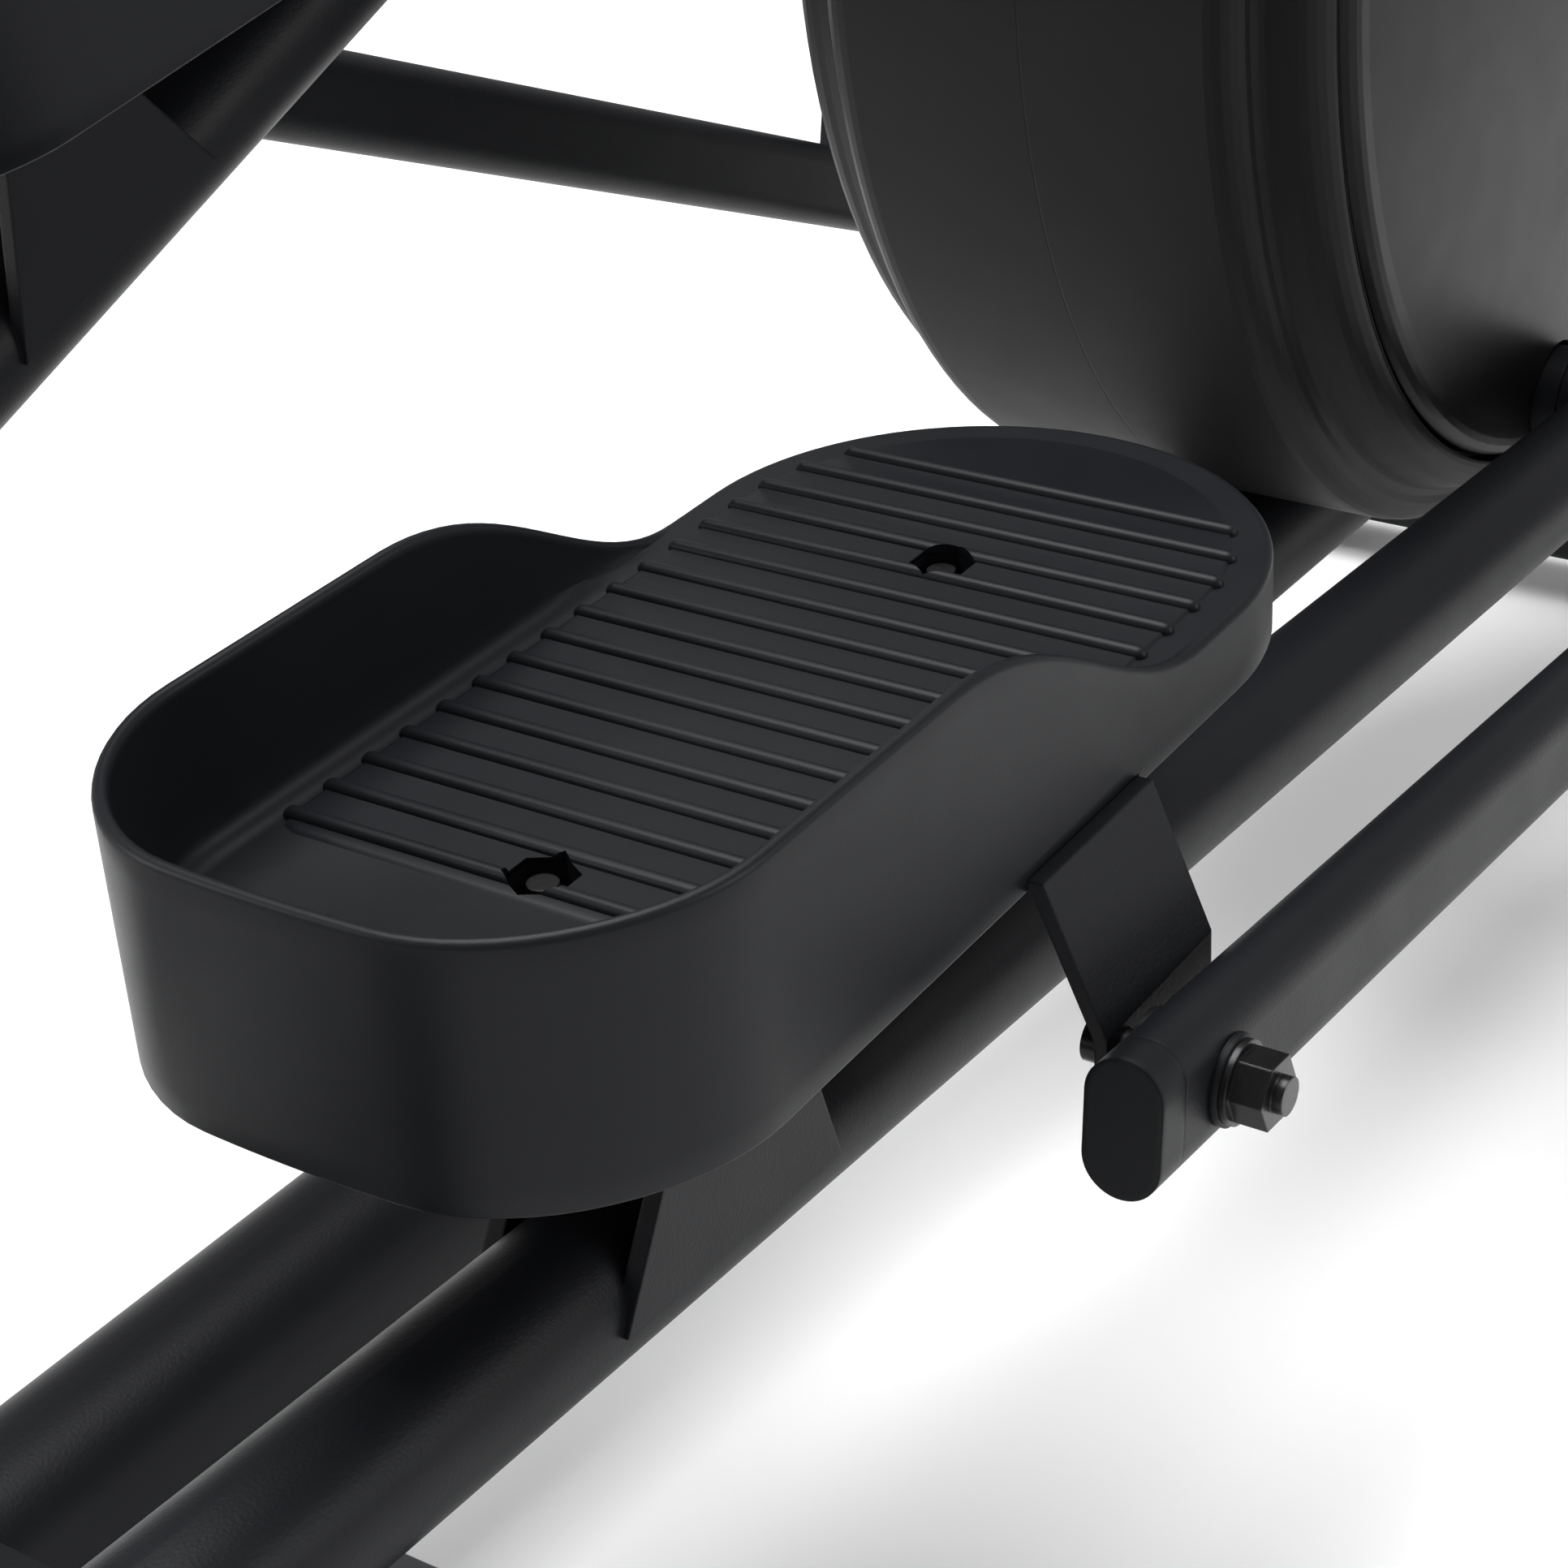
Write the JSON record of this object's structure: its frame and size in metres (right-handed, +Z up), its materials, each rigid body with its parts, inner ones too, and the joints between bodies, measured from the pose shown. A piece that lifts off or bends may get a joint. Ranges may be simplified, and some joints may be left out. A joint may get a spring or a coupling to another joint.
{
  "type": "elliptical trainer",
  "caption": "Front-drive elliptical trainer with ribbed pedals on arms that roll on tracks, a round drive housing, a leaning mast with a console, and swinging handlebars.",
  "frame": {"origin": "on the floor under the middle of the base", "axes": "+X towards the drive housing, +Y to the user's left, +Z up"},
  "size_m": [1.8, 0.6126, 1.6011],
  "materials": {
    "powder_steel": "satin black powder coat, fine orange peel",
    "pedal_plastic": "satin moulded black plastic",
    "housing_plastic": "matte black textured plastic",
    "disc_plastic": "smooth black plastic",
    "cap_plastic": "black moulded plastic",
    "black_zinc": "black zinc plated fasteners",
    "bright_steel": "ground steel",
    "track_aluminium": "brushed extrusion",
    "roller_urethane": "polyurethane tyre",
    "foam": "foam grip",
    "flywheel_iron": "machined iron",
    "belt_rubber": "ribbed belt",
    "screen_glass": "display window",
    "button_plastic": "grey keys"
  },
  "bodies": {
    "frame": {"main_beam": "powder_steel", "front_leg": "powder_steel", "rear_stabilizer": "powder_steel", "front_stabilizer": "powder_steel", "stabilizer_caps": "cap_plastic", "rail_frame": "powder_steel", "track_stops": "roller_urethane", "mast": "powder_steel", "swing_axle": "powder_steel", "tracks": "track_aluminium", "transport_wheel_forks": "powder_steel", "housing_right": "housing_plastic", "housing_left": "housing_plastic", "console": "cap_plastic", "console_screen": "screen_glass", "fixed_handlebar": "powder_steel", "fixed_grips": "foam", "core_plate": "powder_steel", "crank_bearings": "bright_steel", "drive_belt": "belt_rubber"},
    "crank": {"crank_axle": "bright_steel", "crank_arms": "powder_steel", "drive_pulley": "cap_plastic", "right_crank_disc": "disc_plastic", "left_crank_disc": "disc_plastic"},
    "flywheel": {"flywheel": "flywheel_iron"},
    "idler": {"idler_pulley": "cap_plastic"},
    "brake": {"brake_arm": "powder_steel"},
    "knob": {"tension_knob": "cap_plastic"},
    "start_button": {"start_button": "button_plastic"},
    "mode_button": {"mode_button": "button_plastic"},
    "right_carriage": {"right_roller_axle": "black_zinc"},
    "right_roller": {"right_roller": "roller_urethane"},
    "right_arm": {"right_arm": "powder_steel"},
    "right_pedal": {"right_pedal": "pedal_plastic", "right_pedal_plate": "powder_steel", "right_pedal_bolts": "black_zinc"},
    "right_link": {"right_link_tube": "powder_steel", "right_link_caps": "cap_plastic", "right_link_bushes": "cap_plastic", "right_link_bolt": "black_zinc"},
    "right_swing": {"right_swing_arm": "powder_steel", "right_handlebar": "powder_steel", "right_grip": "foam"},
    "right_wheel": {"right_transport_wheel": "roller_urethane"},
    "left_carriage": {"left_roller_axle": "black_zinc"},
    "left_roller": {"left_roller": "roller_urethane"},
    "left_arm": {"left_arm": "powder_steel"},
    "left_pedal": {"left_pedal": "pedal_plastic", "left_pedal_plate": "powder_steel", "left_pedal_bolts": "black_zinc"},
    "left_link": {"left_link_tube": "powder_steel", "left_link_caps": "cap_plastic", "left_link_bushes": "cap_plastic", "left_link_bolt": "black_zinc"},
    "left_swing": {"left_swing_arm": "powder_steel", "left_handlebar": "powder_steel", "left_grip": "foam"},
    "left_wheel": {"left_transport_wheel": "roller_urethane"}
  },
  "joints": [
    {"name": "crank_spin", "type": "hinge", "parent": "frame", "child": "crank", "pos_m": [0.523, 0, 0.4635], "axis": [0, 1, 0], "continuous": true},
    {"name": "flywheel_spin", "type": "hinge", "parent": "frame", "child": "flywheel", "pos_m": [0.628, 0, 0.59], "axis": [0, 1, 0], "continuous": true},
    {"name": "idler_spin", "type": "hinge", "parent": "frame", "child": "idler", "pos_m": [0.6685, 0.058, 0.54785], "axis": [0, 1, 0], "continuous": true},
    {"name": "brake_swing", "type": "hinge", "parent": "frame", "child": "brake", "pos_m": [0.598, -0.044, 0.44], "axis": [0, 1, 0], "range_deg": [0, 3]},
    {"name": "tension_knob_turn", "type": "hinge", "parent": "frame", "child": "knob", "pos_m": [0.66738, 0, 0.88732], "axis": [-0.8994, 0, -0.4371], "range_deg": [0, 240]},
    {"name": "start_press", "type": "slide", "parent": "frame", "child": "start_button", "axis": [0.788, 0, 0.6157], "range_m": [0, 0.0015], "stiffness_N_per_m": 400},
    {"name": "mode_press", "type": "slide", "parent": "frame", "child": "mode_button", "axis": [0.788, 0, 0.6157], "range_m": [0, 0.0015], "stiffness_N_per_m": 400},
    {"name": "right_stride", "type": "slide", "parent": "frame", "child": "right_carriage", "axis": [1, 0, 0], "range_m": [0, 0.16412]},
    {"name": "right_roller_spin", "type": "hinge", "parent": "right_carriage", "child": "right_roller", "pos_m": [-0.61839, -0.15, 0.1962], "axis": [0, 1, 0], "range_deg": [-1, 314.45]},
    {"name": "right_arm_tilt", "type": "hinge", "parent": "right_carriage", "child": "right_arm", "pos_m": [-0.61839, -0.15, 0.1962], "axis": [0, -1, 0], "range_deg": [-0.01, 25.44]},
    {"name": "right_pedal_tilt", "type": "hinge", "parent": "right_arm", "child": "right_pedal", "pos_m": [-0.20332, -0.15, 0.27771], "axis": [0, -1, 0], "range_deg": [-17.04, 0.01]},
    {"name": "right_link_pivot", "type": "hinge", "parent": "right_pedal", "child": "right_link", "pos_m": [-0.13838, -0.262, 0.25347], "axis": [0, -1, 0], "range_deg": [-25.58, 0.01]},
    {"name": "right_swing", "type": "hinge", "parent": "frame", "child": "right_swing", "pos_m": [0.64, -0.262, 1.01], "axis": [0, 1, 0], "range_deg": [-4.77, 0.01]},
    {"name": "right_wheel_spin", "type": "hinge", "parent": "frame", "child": "right_wheel", "pos_m": [0.798, -0.2, 0.0355], "axis": [0, 1, 0], "continuous": true},
    {"name": "left_stride", "type": "slide", "parent": "frame", "child": "left_carriage", "axis": [1, 0, 0], "range_m": [-0.16412, 0]},
    {"name": "left_roller_spin", "type": "hinge", "parent": "left_carriage", "child": "left_roller", "pos_m": [-0.45427, 0.15, 0.1962], "axis": [0, 1, 0], "range_deg": [-314.45, 1]},
    {"name": "left_arm_tilt", "type": "hinge", "parent": "left_carriage", "child": "left_arm", "pos_m": [-0.45427, 0.15, 0.1962], "axis": [0, -1, 0], "range_deg": [-25.44, 0.01]},
    {"name": "left_pedal_tilt", "type": "hinge", "parent": "left_arm", "child": "left_pedal", "pos_m": [-0.11441, 0.15, 0.44804], "axis": [0, -1, 0], "range_deg": [-0.01, 17.04]},
    {"name": "left_link_pivot", "type": "hinge", "parent": "left_pedal", "child": "left_link", "pos_m": [-0.04662, 0.262, 0.43355], "axis": [0, -1, 0], "range_deg": [-0.01, 25.58]},
    {"name": "left_swing", "type": "hinge", "parent": "frame", "child": "left_swing", "pos_m": [0.64, 0.262, 1.01], "axis": [0, 1, 0], "range_deg": [-0.01, 4.77]},
    {"name": "left_wheel_spin", "type": "hinge", "parent": "frame", "child": "left_wheel", "pos_m": [0.798, 0.2, 0.0355], "axis": [0, 1, 0], "continuous": true}
  ],
  "couplings": [
    {"joint": "flywheel_spin", "follows": "crank_spin", "ratio": 8.125},
    {"joint": "idler_spin", "follows": "crank_spin", "ratio": -7.2222},
    {"joint": "tension_knob_turn", "follows": "brake_swing", "ratio": 80},
    {"joint": "right_roller_spin", "follows": "right_stride", "rad_per_m": 33.333},
    {"joint": "right_arm_tilt", "follows": "right_stride", "rad_per_m": 2.7042},
    {"joint": "right_pedal_tilt", "follows": "right_stride", "rad_per_m": -1.8109},
    {"joint": "right_link_pivot", "follows": "right_stride", "rad_per_m": -2.7194},
    {"joint": "right_swing", "follows": "right_stride", "rad_per_m": -0.50596},
    {"joint": "left_stride", "follows": "right_stride", "ratio": -1},
    {"joint": "left_roller_spin", "follows": "right_stride", "rad_per_m": -33.333},
    {"joint": "left_arm_tilt", "follows": "right_stride", "rad_per_m": -2.7042},
    {"joint": "left_pedal_tilt", "follows": "right_stride", "rad_per_m": 1.8109},
    {"joint": "left_link_pivot", "follows": "right_stride", "rad_per_m": 2.7194},
    {"joint": "left_swing", "follows": "right_stride", "rad_per_m": 0.50596}
  ]
}
